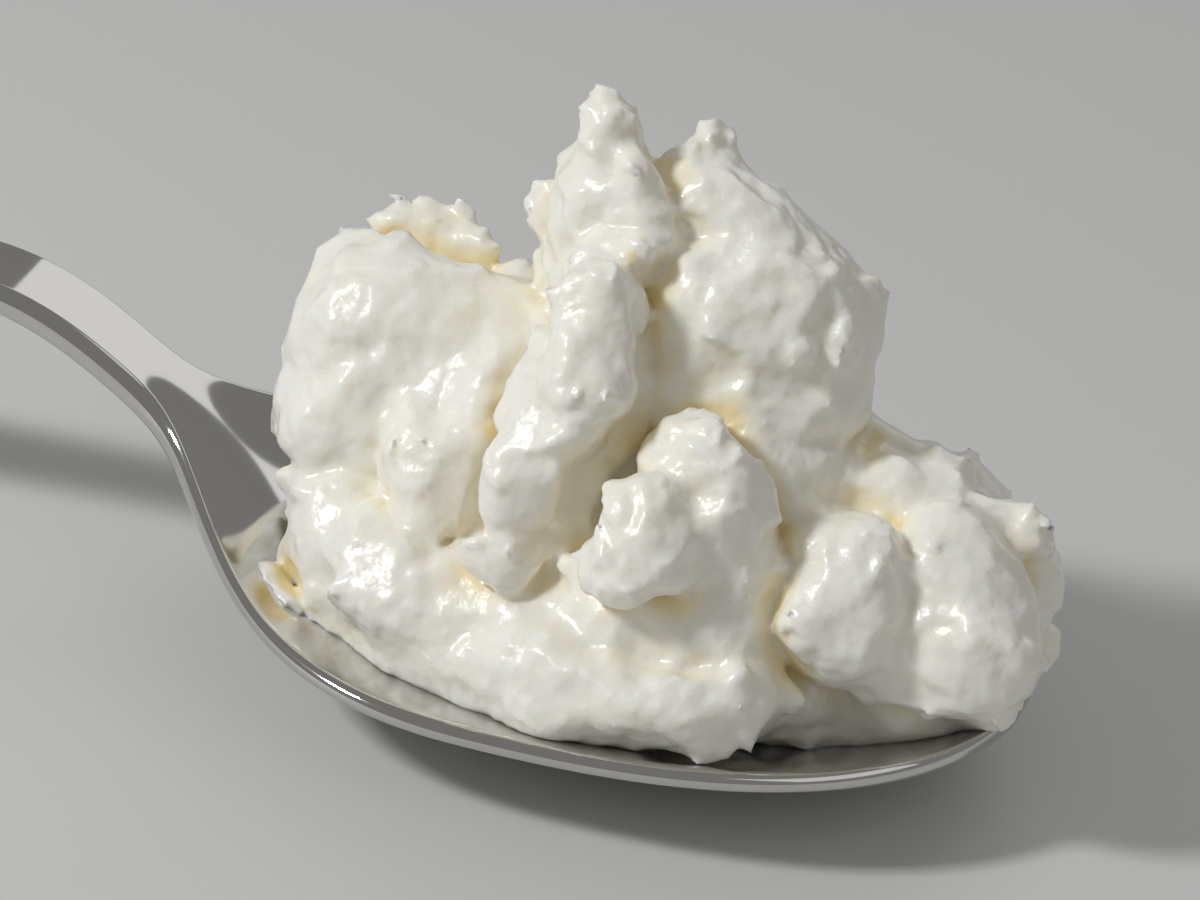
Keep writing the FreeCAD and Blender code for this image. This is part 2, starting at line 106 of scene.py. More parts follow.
# -------------------------------------------------------------- quark sizes
MERGE = 0.8                 # softness where one lump runs into the next
BODY_MERGE = 2.5
SEAT_GAP = 0.03             # vertical gap between the quark and the steel
CELL = 0.36      # pitch of the grid
GRID_LOW = (-0.46 * BOWL_LENGTH, -0.53 * BOWL_WIDTH, 0.5)
GRID_HIGH = (0.57 * BOWL_LENGTH, 0.47 * BOWL_WIDTH, 49.0)
FAR_OUTSIDE = 9             # distance given to points that no lump has reached
LUMP_MARGIN = 1.5           # how far round a lump its distance is worked out
RELIEF_BAND = 3             # the relief is worked out this near the surface

# Layers of noise: amount in mm, pitch in mm, seed. Those that move points
# take three seeds in a row.
Layer = namedtuple("Layer", "amount pitch seed")
TEAR = Layer(0.8, 5.5, 61)              # pushes the lumps out of round
FINE_TEAR = Layer(0.4, 2.6, 71)         # as a share of TEAR
WARP = Layer(1.4, 5.0, 11)              # bends the layers of relief
PATCH = Layer(1.1, 7.0, 21)             # where the surface is rough, 0 to 1
SWELL = Layer(0.25, 4.2, 1)
FOLD = Layer(0.45, 3.3, 2)
CREASE = Layer(0.24, 1.5, 3)
GRAIN = Layer(0.32, 1.5, 31)
RIDGE = Layer(0.7, 1.7, 5)              # along edges and on tips only
BACK_SWELL = Layer(1.5, 4.6, 81)        # on the far side only
BACK_FOLD = Layer(0.7, 2.7, 82)

FOLD_RISE = 0.12            # lifts the folds so that the heap keeps its size
CALM_CREASE = 0.4           # share of the creases left where it is calm
CALM_GRAIN = 0.35
GRAIN_MIDDLE = 0.6          # a grain stands out where it is above this
GRAIN_GAP = 0.2             # and the pits between grains are level below this
RIDGE_WIDTH = 0.5           # noise value at which a ridge has died away
EDGE_CUT = 0.25             # sets the edges back by this before the ridges
PIT_LIMIT = 0.25            # deeper pits keep only a share of what is over
PIT_SHARE = 0.4
BACK_RISE = 0.2
BACK_START = 1              # the far side's bumps begin at this y
BACK_FADE = 6               # and are full this much further on
BACK_BAND = 4               # they are worked out this near the surface
EDGE_REACH = 1.2            # how far from a point its bend is measured
EDGE_BEND = 0.35            # bend at which an edge begins
EDGE_RANGE = 0.6            # and by how much more it is full
CLEFT_STEP = 0.8            # step for the direction out of the surface
CLEFT_REACHES = (1.2, 2.5, 4.0)         # how far out the room is measured
CLEFT_OPEN = 1.2            # no reach counts for more than this
LIMIT_MARGIN = 0.02         # the heap stays this far inside the CAD box
LIMIT_FADE = 6              # and is drawn in over this length

# name, middle, half sizes of the inner bodies
BODIES = [
    ("bed", (1.5, 0.5, 8.3), (24.0, 18.0, 7.0)),
    ("left body", (-7.0, 3.0, 18.0), (11.5, 9.5, 10.0)),
    ("middle body", (5.0, 4.0, 21.0), (10.0, 10.0, 14.0)),
    ("right body", (19.0, 3.0, 12.5), (11.0, 12.0, 8.0)),
    ("skirt body", (20.0, -4.0, 7.4), (10.5, 6.8, 3.6)),
]

# name, two ends, radius at each end, thinness across the spoon
LUMPS = [
    ("left corner", (-21.0, 4.0, 26.5), (-20.5, 2.0, 22.0), 2.7, 3.8, 1.0),
    ("left edge", (-20.5, 2.0, 22.0), (-21.5, 0.0, 15.5), 3.9, 3.3, 1.0),
    ("left face", (-18.0, 2.0, 23.5), (-17.5, -1.0, 16.5), 6.2, 6.0, 1.0),
    ("left middle", (-13.5, 2.0, 22.5), (-12.5, -1.0, 16.5), 5.6, 5.6, 1.0),
    ("left right", (-9.0, 3.0, 23.5), (-9.0, -1.0, 19.0), 4.4, 4.8, 1.0),
    ("left bulge", (-9.5, -1.5, 24.0), (-8.5, -5.5, 20.5), 2.2, 2.8, 1.0),
    ("nose fold", (-15.0, -2.0, 19.5), (-12.0, -7.0, 17.5), 2.6, 3.2, 1.0),
    ("nose", (-12.0, -7.0, 17.5), (-11.0, -9.0, 15.5), 3.3, 2.5, 1.0),
    ("left keel", (-9.5, -6.0, 18.5), (-10.0, -8.0, 15.5), 3.4, 2.6, 1.0),
    ("left under", (-15.0, -3.0, 12.0), (-8.0, -6.0, 12.0), 4.8, 5.0, 1.0),
    ("fan", (-19.5, 9.0, 26.0), (-14.5, 9.0, 26.0), 2.4, 2.4, 0.6),
    ("fan tip a", (-19.0, 9.0, 27.0), (-20.0, 10.0, 28.0), 1.9, 1.0, 0.7),
    ("fan tip b", (-17.0, 9.0, 27.5), (-17.5, 10.0, 28.5), 1.9, 1.0, 0.7),
    ("fan tip c", (-14.5, 9.0, 27.0), (-15.0, 10.0, 28.5), 1.9, 1.0, 0.7),
    ("left foot a", (-17.5, -5.0, 12.0), (-15.0, -8.0, 7.0), 4.0, 4.8, 1.0),
    ("left foot b", (-12.0, -10.0, 10.5), (-9.5, -12.0, 7.0), 5.0, 4.8, 1.0),
    ("left spike a", (-19.0, -5.0, 12.0), (-21.0, -5.0, 12.5), 2.9, 1.3, 1.0),
    ("left spike b", (-18.0, -7.0, 7.5), (-20.0, -7.0, 7.5), 3.4, 1.6, 1.0),
    ("left flap", (-22.0, -10.0, 6.0), (-16.5, -13.0, 4.0), 1.9, 2.4, 1.0),
    ("finger top", (-2.0, -7.0, 32.5), (0.0, -6.0, 32.0), 2.7, 2.4, 1.0),
    ("finger ridge", (-1.5, -8.0, 33.0), (-1.0, -11.0, 28.5), 2.5, 2.8, 1.0),
    ("finger back", (-0.5, -4.0, 30.5), (0.0, -7.0, 25.5), 2.6, 2.9, 1.0),
    ("finger middle", (-2.5, -7.0, 27.5), (-3.5, -9.0, 23.5), 2.8, 3.4, 1.0),
    ("finger front", (-1.0, -10.0, 28.0), (-3.5, -13.0, 20.5), 3.0, 3.0, 1.0),
    ("finger side", (0.0, -7.0, 25.5), (-1.5, -11.0, 17.5), 3.0, 2.6, 1.0),
    ("finger end", (-3.5, -13.0, 20.5), (-4.5, -13.0, 19.0), 2.8, 1.6, 1.0),
    ("finger tip", (-4.5, -14.0, 16.0), (-3.0, -14.0, 16.0), 1.9, 2.2, 1.0),
    ("spire foot", (-2.5, 2.0, 32.0), (-3.5, 2.0, 37.5), 4.8, 4.0, 1.0),
    ("spire middle", (-3.5, 2.0, 37.5), (-4.0, 2.0, 41.0), 3.7, 2.3, 1.0),
    ("spire", (-4.0, 2.0, 41.0), (-4.5, 2.0, 43.5), 2.4, 0.9, 1.0),
    ("spire ridge", (-1.0, 0.0, 39.5), (0.5, -1.0, 35.0), 2.2, 2.6, 1.0),
    ("spire knots", (-3.0, -3.0, 33.5), (-0.5, -3.0, 34.5), 2.1, 2.4, 1.0),
    ("spire fin", (-7.0, 5.0, 35.5), (-6.0, 5.0, 28.0), 1.6, 2.3, 0.8),
    ("peak", (3.0, 6.0, 40.0), (6.0, 4.0, 34.0), 1.8, 6.0, 1.0),
    ("peak slope", (2.5, 4.0, 37.5), (6.5, 4.0, 35.0), 3.5, 4.5, 1.0),
    ("shoulder", (6.5, 4.0, 35.0), (13.0, 4.0, 30.5), 4.5, 4.2, 1.0),
    ("shoulder tip", (13.5, 3.0, 31.0), (15.5, 4.0, 33.0), 3.0, 1.4, 0.8),
    ("face upper", (8.5, 1.0, 30.0), (9.5, 0.0, 24.5), 7.3, 7.2, 1.0),
    ("face lower", (8.5, -2.0, 24.0), (13.0, 0.0, 23.5), 5.6, 4.6, 1.0),
    ("face foot", (10.0, -4.0, 22.0), (14.5, -2.0, 20.5), 4.6, 4.4, 1.0),
    ("face left", (4.5, -1.0, 32.0), (5.5, -3.0, 25.5), 4.0, 4.4, 1.0),
    ("saddle", (-0.5, 3.0, 34.5), (3.5, 4.0, 35.0), 4.0, 4.5, 1.0),
    ("valley top", (1.0, 1.0, 31.0), (1.0, 0.0, 24.5), 4.6, 5.0, 1.0),
    ("valley floor", (1.0, 0.0, 24.5), (0.5, -4.0, 17.0), 5.2, 4.8, 1.0),
    ("valley foot", (0.5, -4.0, 17.0), (0.0, -9.0, 14.0), 4.6, 4.2, 1.0),
    ("front tower", (7.0, -11.0, 24.5), (9.5, -12.0, 21.0), 3.4, 4.6, 1.0),
    ("tower side", (9.5, -12.0, 21.0), (11.5, -12.0, 19.0), 4.5, 3.3, 1.0),
    ("edge nub a", (12.0, -12.0, 22.0), (13.0, -12.0, 23.0), 1.9, 1.1, 1.0),
    ("edge nub b", (12.5, -12.0, 18.5), (14.0, -12.0, 19.0), 2.0, 1.2, 1.0),
    ("front head", (5.5, -16.0, 22.5), (7.0, -16.0, 21.0), 3.1, 3.2, 1.0),
    ("head chin", (5.0, -17.0, 19.0), (7.0, -16.0, 20.5), 2.7, 2.8, 1.0),
    ("front head tip", (3.5, -17.0, 20.0), (2.5, -17.0, 19.5), 2.1, 1.1, 1.0),
    ("front spike", (2.0, -14.0, 16.5), (1.0, -14.0, 16.5), 1.2, 0.8, 1.0),
    ("front body", (4.5, -13.0, 12.0), (10.0, -12.0, 13.0), 4.8, 5.4, 1.0),
    ("front side", (11.0, -12.0, 16.0), (13.5, -15.0, 10.5), 3.9, 3.6, 1.0),
    ("edge nub c", (14.5, -15.0, 11.0), (16.5, -15.0, 10.5), 2.3, 1.3, 1.0),
    ("front low", (7.0, -16.0, 9.0), (13.5, -17.0, 11.0), 4.0, 3.2, 1.0),
    ("apron left", (-8.5, -13.0, 6.5), (1.5, -17.0, 8.5), 4.2, 4.2, 1.0),
    ("apron right", (1.5, -17.0, 8.5), (11.0, -18.0, 10.0), 4.2, 3.2, 1.0),
    ("apron crumb", (12.5, -19.0, 8.5), (15.0, -18.5, 9.0), 1.5, 1.2, 1.0),
    ("belly", (-5.5, -11.0, 9.5), (3.0, -12.0, 10.5), 5.6, 5.4, 1.0),
    ("back layer", (16.5, 2.0, 22.5), (23.5, 1.0, 21.0), 2.2, 2.3, 1.0),
    ("back fill", (15.0, -1.0, 20.0), (23.5, -2.0, 19.5), 4.3, 3.7, 1.0),
    ("right slope", (13.5, -4.0, 20.0), (15.5, -6.0, 15.0), 4.6, 4.2, 1.0),
    ("right knob", (18.0, -9.0, 18.5), (19.0, -11.0, 15.5), 4.1, 4.9, 1.0),
    ("right bridge", (21.5, -9.0, 16.5), (23.0, -10.0, 13.0), 3.2, 3.6, 1.0),
    ("right lump", (26.0, -6.0, 18.5), (27.5, -9.0, 14.5), 4.7, 5.2, 1.0),
    ("right crown", (27.0, -2.0, 20.5), (29.5, -2.0, 20.5), 2.0, 1.8, 1.0),
    ("crown tip a", (27.0, -2.0, 20.0), (27.0, -2.0, 21.5), 1.5, 0.8, 1.0),
    ("crown tip b", (29.5, -2.0, 20.5), (30.0, -2.0, 22.0), 1.5, 0.8, 1.0),
    ("crown tip c", (29.5, -1.0, 18.5), (31.0, -1.0, 18.0), 1.8, 1.0, 1.0),
    ("right horn", (29.5, -1.0, 18.5), (30.0, -2.0, 14.0), 2.2, 2.9, 1.0),
    ("right flap", (30.5, -1.0, 10.0), (32.5, -1.0, 11.5), 2.6, 1.6, 1.0),
    ("right foot", (27.0, -9.0, 12.0), (29.5, -7.0, 10.0), 3.0, 2.8, 1.0),
    ("skirt", (17.0, -8.5, 7.5), (25.0, -6.5, 9.0), 2.0, 2.0, 1.0),
    ("skirt end", (27.5, -6.5, 9.5), (30.5, -3.0, 9.0), 2.2, 2.0, 1.0),
]


# -------------------------------------------------------------------- spoon
def soft_step(t, r):
    """t where t is positive and 0 where negative, rounded over r."""
    return 0.5 * (t + np.sqrt(t * t + r * r))


def bowl_half_width(x):
    u = np.clip((x - WIDEST_X) / (TIP_X - WIDEST_X), 0, 1)
    t = np.clip((x - NECK_X) / (WIDEST_X - NECK_X), 0, 1)
    to_tip = BOWL_WIDTH / 2 * np.sqrt(1 - u ** TIP_POWER)
    to_neck = BOWL_WIDTH / 2 * np.sin(np.pi / 2 * t ** NECK_POWERS[0]) ** NECK_POWERS[1]
    return np.where(x > WIDEST_X, to_tip, to_neck)


def handle_half_width(x):
    t = np.clip((NECK_X - x) / HANDLE_LENGTH, 0, 1)
    w = (NECK_WIDTH + (HANDLE_END_WIDTH - NECK_WIDTH) * t ** HANDLE_POWER) / 2
    u = np.clip((HANDLE_END_X + HANDLE_END_ROUND - x) / HANDLE_END_ROUND, 0, 1)
    return w * np.sqrt(1 - u ** HANDLE_END_POWER)


def half_width(x):
    bowl = bowl_half_width(x)
    both = (bowl ** JOIN_POWER + handle_half_width(x) ** JOIN_POWER) ** (1 / JOIN_POWER)
    return np.where(x > WIDEST_X, bowl, both)


def line_without_fall(x):
    """Height of the rim and the handle's edge if the handle never came down."""
    lift = TIP_LIFT * np.clip(x / TIP_X, 0, 1) ** 2
    rise = soft_step(RISE_X - x, NECK_BEND) - soft_step(ARCH_X - x, ARCH_BEND)
    return RIM_Z + lift + NECK_SLOPE * rise


def fall_length(x):
    return soft_step(ARCH_X - x, ARCH_BEND) - soft_step(FOOT_X - x, FOOT_BEND)


HANDLE_REST_Z = HANDLE_END_THICKNESS - FLAT_SPOT_CUT / 2
FALL_SLOPE = (line_without_fall(HANDLE_END_X) - HANDLE_REST_Z) / fall_length(HANDLE_END_X)


def rim_height(x):
    return line_without_fall(x) - FALL_SLOPE * fall_length(x)


def dish(x):
    """Depth of the bowl below its rim along the middle line."""
    s = np.clip((x - NECK_X) / BOWL_LENGTH, 0, 1)
    full = (4 * s * (1 - s)) ** DISH_POWER
    return BOWL_DEPTH / DISH_PEAK * full * (DISH_LEAN * s) ** DISH_LEAN_POWER


def top_height(x, y):
    """Height of the steel's top face."""
    v = np.minimum(1, np.abs(y) / np.maximum(half_width(x), 1e-6))
    q = 1 - v * v
    return rim_height(x) - dish(x) * (DISH_ROUND[0] * q + DISH_ROUND[1] * q * q)


def thickness(x):
    s = np.clip((THICKEN_X - x) / THICKEN_LENGTH, 0, 1)
    bowl = BOWL_THICKNESS + (NECK_THICKNESS - BOWL_THICKNESS) * s * s * (3 - 2 * s)
    end = np.clip((NECK_X - x) / HANDLE_LENGTH, 0, 1)
    slope = rim_height(x + 0.5) - rim_height(x - 0.5)
    return (bowl + (HANDLE_END_THICKNESS - NECK_THICKNESS) * end) * np.sqrt(1 + slope ** 2)


def edge_round(x):
    """Share of the thickness left near the two ends of the spoon."""
    r = BOWL_THICKNESS / 2
    u = np.clip(np.maximum((x - TIP_X + r) / r, (HANDLE_END_X + r - x) / r), 0, 0.98)
    return np.sqrt(1 - u * u)


def spoon_net():
    """Rings of control points round the spoon, one ring a station."""
    inset = 0.03
    first = HANDLE_END_X + inset
    last = TIP_X - inset
    i = np.arange(STATIONS + 1)
    x = (first + (last - first) * (1 - np.cos(np.pi * i / STATIONS)) / 2)[:, None]
    w = half_width(x)
    full = thickness(x)
    left = full * edge_round(x)
    y = w * np.sin(np.pi / 2 * (2 * np.arange(RING_STEPS + 1) / RING_STEPS - 1))[None, :]
    e = 0.02 * w
    slope = (top_height(x, y + e) - top_height(x, y - e)) / (2 * e)
    slope[:, [0, -1]] *= 2
    n = np.hypot(1, slope)
    z = top_height(x, y)
    a = (full - left) / 2
    b = (full + left) / 2
    top = np.stack([y + a * slope / n, z - a / n], -1)
    under = np.stack([y + b * slope / n, z - b / n], -1)
    right = bulge(top[:, -1], under[:, -1], 1, left)
    other = bulge(top[:, 0], under[:, 0], -1, left)
    yz = np.concatenate([top, right[:, None], under[:, ::-1], other[:, None]], 1)
    return np.concatenate([np.broadcast_to(x[:, :, None], yz.shape[:2] + (1,)), yz], 2)


def bulge(a, b, side, t):
    """A control point that stands out between a and b and rounds the edge."""
    ty = a[:, 1] - b[:, 1]
    tz = b[:, 0] - a[:, 0]
    out = side * EDGE_BULGE * t[:, 0] / np.hypot(ty, tz)
    return (a + b) / 2 + np.stack([out * ty, out * tz], 1)


def cubic_weights(t, count, closed):
    """Uniform cubic B-spline weights, clamped at the ends unless closed."""
    if closed:
        base = np.floor(t).astype(int)
        f = t - base
        w = np.stack([(1 - f) ** 3, 3 * f ** 3 - 6 * f ** 2 + 4,
                      -3 * f ** 3 + 3 * f ** 2 + 3 * f + 1, f ** 3], 1) / 6
        rows = np.zeros((len(t), count))
        for k in range(4):
            np.add.at(rows, (np.arange(len(t)), (base + k) % count), w[:, k])
        return rows
    knots = np.concatenate([[0] * 3, np.arange(count - 2), [count - 3] * 3]).astype(float)
    t = np.minimum(t, count - 3 - 1e-9)
    basis = [((knots[i] <= t) & (t < knots[i + 1])).astype(float) for i in range(len(knots) - 1)]
    for d in range(1, 4):
        nxt = []
        for i in range(len(knots) - 1 - d):
            p = knots[i + d] - knots[i]
            q = knots[i + d + 1] - knots[i + 1]
            left = (t - knots[i]) / p * basis[i] if p > 0 else 0 * t
            right = (knots[i + d + 1] - t) / q * basis[i + 1] if q > 0 else 0 * t
            nxt.append(left + right)
        basis = nxt
    return np.stack(basis, 1)


def build_spoon():
    net = spoon_net()
    n, m = net.shape[:2]
    along = cubic_weights(np.linspace(0, n - 3, SKIN_STEPS * n), n, False)
    around = cubic_weights(np.arange(SKIN_STEPS * m) / SKIN_STEPS, m, True)
    points = np.einsum("si,ijk,rj->srk", along, net, around)
    points[..., 2] = np.maximum(points[..., 2], 0)
    rows, cols = points.shape[:2]
    index = np.arange(rows * cols).reshape(rows, cols)
    nxt = np.roll(index, -1, 1)
    quads = np.stack([index[:-1], index[1:], nxt[1:], nxt[:-1]], -1).reshape(-1, 4).tolist()
    ends = [index[0].tolist(), index[-1][::-1].tolist()]
    return make_mesh("steel_spoon", points.reshape(-1, 3), quads + ends)


# -------------------------------------------------------------------- quark
def blend(a, b, k):
    """The union of two distances, softened over k."""
    h = np.maximum(k - np.abs(a - b), 0) / k
    return np.minimum(a, b) - h * h * k * 0.25


def body_distance(p, middle, half):
    """Distance to an ellipsoid, near enough."""
    q = (p - np.float32(middle)) / np.float32(half)
    k0 = np.sqrt((q * q).sum(-1))
    q /= np.float32(half)
    return k0 * (k0 - 1) / np.maximum(np.sqrt((q * q).sum(-1)), 1e-6)


def lump_distance(p, a, b, ra, rb, thin):
    """Distance to a rod from a to b that tapers from radius ra to rb."""
    s = np.float32((1, 1 / thin, 1))
    a = np.float32(a) * s
    d = np.float32(b) * s - a
    v = p * s - a
    t = np.clip(v @ d / float(d @ d), 0, 1)
    v -= t[..., None] * d
    return (np.sqrt((v * v).sum(-1)) - ra - (rb - ra) * t) * thin


def scatter(i, j, k, seed):
    """A number from 0 to 1 for each grid point, always the same one."""
    with np.errstate(over="ignore"):
        h = (i.astype(np.uint32) * np.uint32(374761393) + j.astype(np.uint32) * np.uint32(668265263)
             + k.astype(np.uint32) * np.uint32(2147483647)
             + np.full(i.shape, (seed * 1274126177) & 0xFFFFFFFF, np.uint32))
        h = (h ^ (h >> np.uint32(13))) * np.uint32(1274126177)
    return (h ^ (h >> np.uint32(16))).astype(np.float32) / np.float32(4294967295)


def noise(p, seed=1):
    """Smooth repeatable noise from -1 to 1."""
    base = np.floor(p)
    f = (p - base).astype(np.float32)
    f = f * f * f * (f * (f * 6 - 15) + 10)
    base = base.astype(np.int64)
    total = np.zeros(len(p), np.float32)
    for corner in range(8):
        c = (corner & 1, corner >> 1 & 1, corner >> 2 & 1)
        weight = np.ones(len(p), np.float32)
        for i in range(3):
            weight *= f[:, i] if c[i] else 1 - f[:, i]
        total += weight * scatter(base[:, 0] + c[0], base[:, 1] + c[1], base[:, 2] + c[2], seed)
    return total * 2 - 1


def quark_field():
    """Distance to the quark's surface on a grid, and the grid's low corner."""
    low = np.array(GRID_LOW)
    high = np.array(GRID_HIGH)
    count = ((high - low) / CELL).astype(int) + 2
    axes = [low[i] + CELL * np.arange(count[i]) for i in range(3)]
    p = np.stack(np.meshgrid(*axes, indexing="ij"), -1).astype(np.float32)
    f = np.full(p.shape[:3], FAR_OUTSIDE, np.float32)
    bent = torn(p)
    for _, middle, half in BODIES:
        f = blend(f, body_distance(bent, middle, half), BODY_MERGE)
    f -= back_bumps(p, f)
    for _, a, b, ra, rb, thin in LUMPS:
        reach = max(ra, rb) + MERGE + LUMP_MARGIN
        first = np.maximum(0, ((np.minimum(a, b) - reach - low) / CELL).astype(int))
        last = ((np.maximum(a, b) + reach - low) / CELL).astype(int) + 2
        s = tuple(slice(first[i], last[i]) for i in range(3))
        f[s] = blend(f[s], lump_distance(bent[s], a, b, ra, rb, thin), MERGE)
    near = np.abs(f) < RELIEF_BAND
    q = p[near]
    f[near] += relief(q, sharpness(f)[near])
    floor = top_height(p[:, :, 0, 0], p[:, :, 0, 1])[:, :, None] + SEAT_GAP
    f = np.maximum(f, floor - p[..., 2])
    return one_piece(f).astype(np.float32), low


def layer_noise(p, layer, n=0):
    return noise(p / layer.pitch, layer.seed + n)


def torn(p):
    """The grid's points pushed about, so that no lump stays round."""
    q = p.reshape(-1, 3)
    move = np.stack([layer_noise(q, TEAR, i) + FINE_TEAR.amount * layer_noise(q, FINE_TEAR, i)
                     for i in range(3)], 1)
    return (q + TEAR.amount * move).reshape(p.shape).astype(np.float32)


def back_bumps(p, f):
    """Bumps for the far side of the heap, which has few lumps of its own."""
    near = np.abs(f) < BACK_BAND
    q = p[near]
    side = np.clip((q[:, 1] - BACK_START) / BACK_FADE, 0, 1)
    bumps = np.zeros_like(f)
    bumps[near] = side * (BACK_RISE + BACK_SWELL.amount * layer_noise(q, BACK_SWELL)
                          + BACK_FOLD.amount * np.abs(layer_noise(q, BACK_FOLD)))
    return bumps


def one_piece(f):
    """The field without the bits that float free of the heap."""
    inside = f < 0
    reached = np.zeros_like(inside)
    reached[tuple(n // 2 for n in f.shape[:2]) + (f.shape[2] // 4,)] = True
    count = 0
    while count != reached.sum():
        count = reached.sum()
        for axis in range(3):
            for side in (1, -1):
                reached |= np.roll(reached, side, axis)
        reached &= inside
    return np.where(inside & ~reached, 0.1, f)


def curds(p, seed):
    """Rounded grains: 1 in the middle of a grain, 0 between grains."""
    base = np.floor(p)
    f = (p - base).astype(np.float32)
    base = base.astype(np.int64)
    nearest = np.full(len(p), 9, np.float32)
    for i in (-1, 0, 1):
        for j in (-1, 0, 1):
            for k in (-1, 0, 1):
                cell = (base[:, 0] + i, base[:, 1] + j, base[:, 2] + k)
                gap = np.zeros(len(p), np.float32)
                for n, step in enumerate((i, j, k)):
                    gap += (step + 0.15 + 0.7 * scatter(*cell, seed + n) - f[:, n]) ** 2
                nearest = np.minimum(nearest, gap)
    return np.clip(1 - nearest, 0, 1)


def sharpness(f):
    """0 on faces and in hollows, 1 along edges and on tips."""
    n = round(EDGE_REACH / CELL)
    g = np.pad(f, n, mode="edge")
    s = f.shape
    total = -6 * f
    for axis in range(3):
        for shift in (0, 2 * n):
            cut = [slice(n, n + s[i]) for i in range(3)]
            cut[axis] = slice(shift, shift + s[axis])
            total = total + g[tuple(cut)]
    bend = total / (n * CELL) ** 2
    return np.clip((bend - EDGE_BEND) / EDGE_RANGE, 0, 1)


def relief(q, sharp):
    """How far the surface lies inside the plain lumps, in mm."""
    warp = np.stack([layer_noise(q, WARP, i) for i in range(3)], 1)
    w = q + WARP.amount * warp
    patch = np.clip(0.5 + PATCH.amount * layer_noise(q, PATCH), 0, 1)
    d = SWELL.amount * layer_noise(q, SWELL)
    d += FOLD.amount * np.abs(layer_noise(w, FOLD)) - FOLD_RISE
    d += CREASE.amount * layer_noise(w, CREASE) * (CALM_CREASE + (1 - CALM_CREASE) * patch)
    grain = GRAIN_MIDDLE - np.maximum(curds(w / GRAIN.pitch, GRAIN.seed), GRAIN_GAP)
    d += GRAIN.amount * (CALM_GRAIN + (1 - CALM_GRAIN) * patch) * grain
    ridge = (1 - np.minimum(np.abs(layer_noise(w, RIDGE)), RIDGE_WIDTH)) ** 3
    d -= sharp * RIDGE.amount * ridge
    d += sharp * EDGE_CUT
    return np.where(d > PIT_LIMIT, PIT_LIMIT + PIT_SHARE * (d - PIT_LIMIT), d)


def surface_net(f, low, cell):
    """Quads over the zero level of f, with one point for each crossed cell."""
    inside = f < 0
    n = np.array(f.shape)
    total = np.zeros(n - 1, np.int8)
    corners = [(i, j, k) for i in (0, 1) for j in (0, 1) for k in (0, 1)]
    for c in corners:
        total += inside[c[0]:n[0] - 1 + c[0], c[1]:n[1] - 1 + c[1], c[2]:n[2] - 1 + c[2]]
    crossed = (total > 0) & (total < 8)
    cells = np.argwhere(crossed)
    number = np.full(crossed.shape, -1)
    number[crossed] = np.arange(len(cells))
    mean = np.zeros((len(cells), 3))
    hits = np.zeros(len(cells))
    for c in corners:
        for axis in range(3):
            if c[axis]:
                continue
            a = cells + c
            b = a.copy()
            b[:, axis] += 1
            fa = f[tuple(a.T)]
            fb = f[tuple(b.T)]
            cut = (fa < 0) != (fb < 0)
            t = np.where(cut, fa / np.where(cut, fa - fb, 1), 0)
            place = np.tile(np.array(c, float), (len(cells), 1))
            place[:, axis] += t
            mean += place * cut[:, None]
            hits += cut
    points = low + cell * (cells + mean / hits[:, None])
    quads = []
    for axis in range(3):
        u = (axis + 1) % 3
        v = (axis + 2) % 3
        near = np.take(inside, range(n[axis] - 1), axis)
        far = np.take(inside, range(1, n[axis]), axis)
        e = np.argwhere(near != far)
        e = e[(e[:, u] > 0) & (e[:, v] > 0) & (e[:, u] < n[u] - 1) & (e[:, v] < n[v] - 1)]
        quad = []
        for du, dv in ((0, 0), (1, 0), (1, 1), (0, 1)):
            g = e.copy()
            g[:, u] -= du
            g[:, v] -= dv
            quad.append(number[tuple(g.T)])
        quad = np.stack(quad, 1)
        flip = ~near[tuple(e.T)]
        quad[flip] = quad[flip][:, ::-1]
        quads.append(quad)
    return points, np.concatenate(quads)


def build_quark():
    f, low = quark_field()
    f = np.pad(f, 1, constant_values=1.0)
    low = low - CELL
    points, quads = surface_net(f, low, CELL)
    openness = room_outside(f, low, points)
    high = np.array(CAD_BOX[1]) / MM
    points[:, 0] = eased(points[:, 0], high[0])
    points[:, 2] = eased(points[:, 2], high[2])
    piece = make_mesh("quark_heap", points, quads.tolist())
    # openness drives the painted shade that the material puts into the clefts
    layer = piece.data.attributes.new("openness", "FLOAT", "POINT")
    layer.data.foreach_set("value", openness.astype(np.float32))
    return piece


def sampled(f, low, p):
    """The field f at the points p, between its grid values."""
    g = (p - low) / CELL
    g = np.clip(g, 0, np.array(f.shape) - 1.001)
    base = g.astype(int)
    r = g - base
    total = np.zeros(len(p))
    for i in (0, 1):
        for j in (0, 1):
            for k in (0, 1):
                weight = np.abs(1 - i - r[:, 0]) * np.abs(1 - j - r[:, 1]) * np.abs(1 - k - r[:, 2])
                total += weight * f[base[:, 0] + i, base[:, 1] + j, base[:, 2] + k]
    return total


def room_outside(f, low, p):
    """1 on open faces and tips, towards 0 deep in the clefts."""
    step = np.eye(3) * CLEFT_STEP
    out = np.stack([sampled(f, low, p + s) - sampled(f, low, p - s) for s in step], 1)
    out /= np.maximum(np.linalg.norm(out, axis=1), 1e-6)[:, None]
    room = np.zeros(len(p))
    for reach in CLEFT_REACHES:
        share = np.clip(sampled(f, low, p + reach * out) / reach, 0, CLEFT_OPEN)
        room += share / len(CLEFT_REACHES)
    return room


def eased(v, limit):
    """Draw in the last stretch so that nothing passes the limit."""
    over = max(0.0, float(v.max()) - limit + LIMIT_MARGIN)
    t = np.clip((v - limit + LIMIT_FADE) / (v.max() - limit + LIMIT_FADE), 0, 1)
    return v - over * t * t


def make_mesh(name, points, faces):
    mesh = bpy.data.meshes.new(name)
    mesh.from_pydata((np.asarray(points) * MM).tolist(), [], faces)
    mesh.update()
    mesh.polygons.foreach_set("use_smooth", [True] * len(mesh.polygons))
    piece = bpy.data.objects.new(name, mesh)
    bpy.context.scene.collection.objects.link(piece)
    return piece
